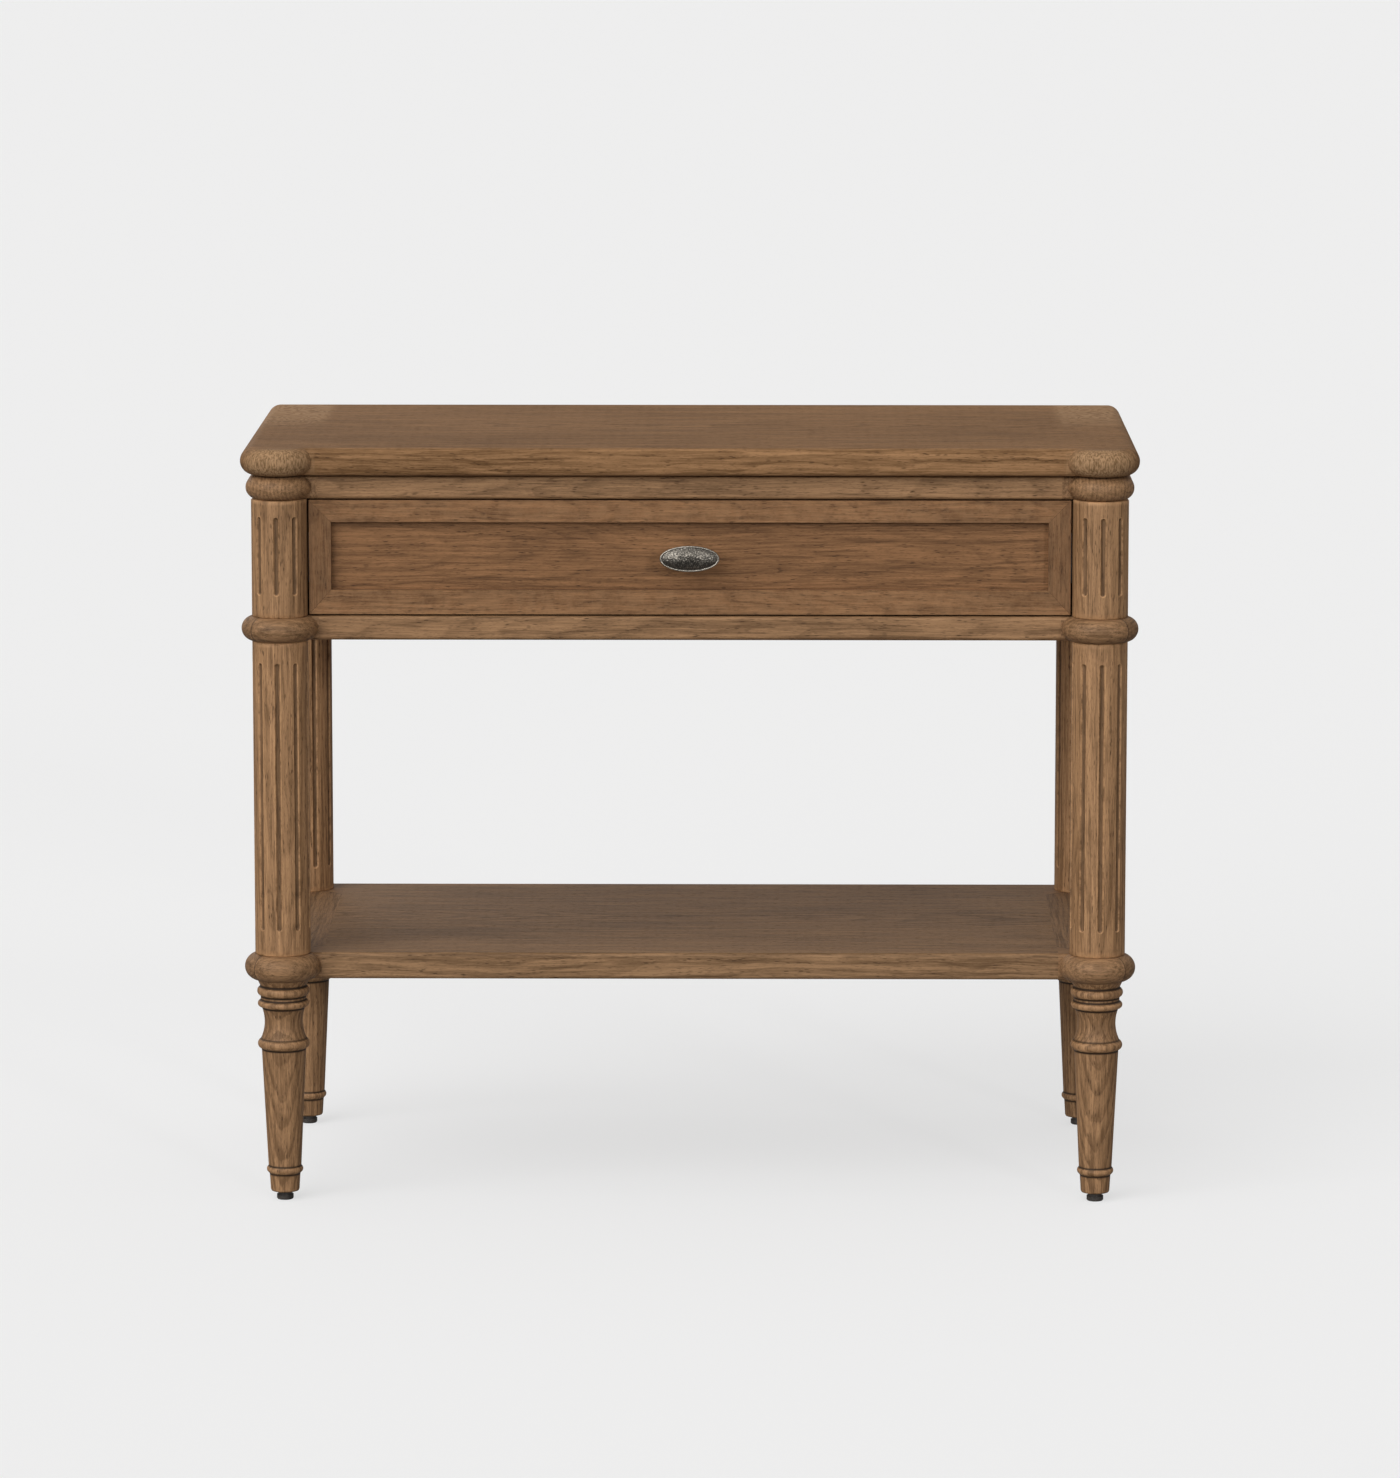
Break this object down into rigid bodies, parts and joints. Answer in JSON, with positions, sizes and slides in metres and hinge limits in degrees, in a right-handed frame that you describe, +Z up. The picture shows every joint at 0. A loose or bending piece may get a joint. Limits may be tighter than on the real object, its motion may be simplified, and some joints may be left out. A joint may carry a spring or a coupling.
{
  "type": "side table with drawer",
  "caption": "Oak side table with a drawer under the top, an open shelf, and fluted columns on turned, tapered feet.",
  "frame": {"origin": "on the floor, under the middle of the table", "axes": "+X to the right when facing the drawer, +Y towards the back, +Z up"},
  "size_m": [0.804, 0.404, 0.6865],
  "materials": {
    "oak": "satin toasted oak, open grain along each board",
    "oak_ends": "satin toasted oak, grain from front to back",
    "drawer_wood": "clear matt lacquer on paler wood",
    "pewter": "hammered, darkened in the hollows and bright on the rim",
    "zinc_steel": "zinc plated",
    "glide_nylon": "moulded, slightly worn"
  },
  "bodies": {
    "frame": {"top_panel": "oak", "top_end_left": "oak_ends", "top_end_right": "oak_ends", "upper_rail_front": "oak", "upper_rail_back": "oak", "upper_end_left": "oak_ends", "upper_end_right": "oak_ends", "upper_column_front_left": "oak", "upper_column_front_right": "oak", "upper_column_back_left": "oak", "upper_column_back_right": "oak", "side_apron_left": "oak", "side_apron_right": "oak", "back_apron": "oak", "opening_stile_left": "oak", "opening_stile_right": "oak", "slide_batten_left": "drawer_wood", "slide_batten_right": "drawer_wood", "mid_rail_front": "oak", "mid_rail_back": "oak", "mid_end_left": "oak_ends", "mid_end_right": "oak_ends", "dust_panel": "drawer_wood", "lower_column_front_left": "oak", "lower_column_front_right": "oak", "lower_column_back_left": "oak", "lower_column_back_right": "oak", "shelf_panel": "oak", "shelf_end_left": "oak_ends", "shelf_end_right": "oak_ends", "foot_front_left": "oak", "foot_front_right": "oak", "foot_back_left": "oak", "foot_back_right": "oak", "floor_glides": "glide_nylon", "tie_rods": "zinc_steel", "top_screws": "zinc_steel", "slide_outer_left": "zinc_steel", "slide_outer_right": "zinc_steel", "slide_outer_screws": "zinc_steel"},
    "drawer": {"slide_inner_left": "zinc_steel", "slide_inner_right": "zinc_steel", "slide_inner_screws": "zinc_steel", "drawer_rail_top": "oak", "drawer_rail_bottom": "oak", "drawer_stile_left": "oak", "drawer_stile_right": "oak", "drawer_panel": "oak", "drawer_box_front": "drawer_wood", "drawer_side_left": "drawer_wood", "drawer_side_right": "drawer_wood", "drawer_back": "drawer_wood", "drawer_bottom": "drawer_wood", "drawer_front_screws": "zinc_steel", "knob": "pewter", "knob_screw": "zinc_steel"},
    "slide_left": {"slide_middle_left": "zinc_steel"},
    "slide_right": {"slide_middle_right": "zinc_steel"}
  },
  "joints": [
    {"name": "drawer_slide", "type": "slide", "parent": "frame", "child": "drawer", "axis": [0, -1, 0], "range_m": [0, 0.28]},
    {"name": "slide_left_extend", "type": "slide", "parent": "frame", "child": "slide_left", "axis": [0, -1, 0], "range_m": [0, 0.14]},
    {"name": "slide_right_extend", "type": "slide", "parent": "frame", "child": "slide_right", "axis": [0, -1, 0], "range_m": [0, 0.14]}
  ],
  "couplings": [
    {"joint": "slide_left_extend", "follows": "drawer_slide", "ratio": 0.5},
    {"joint": "slide_right_extend", "follows": "drawer_slide", "ratio": 0.5}
  ]
}
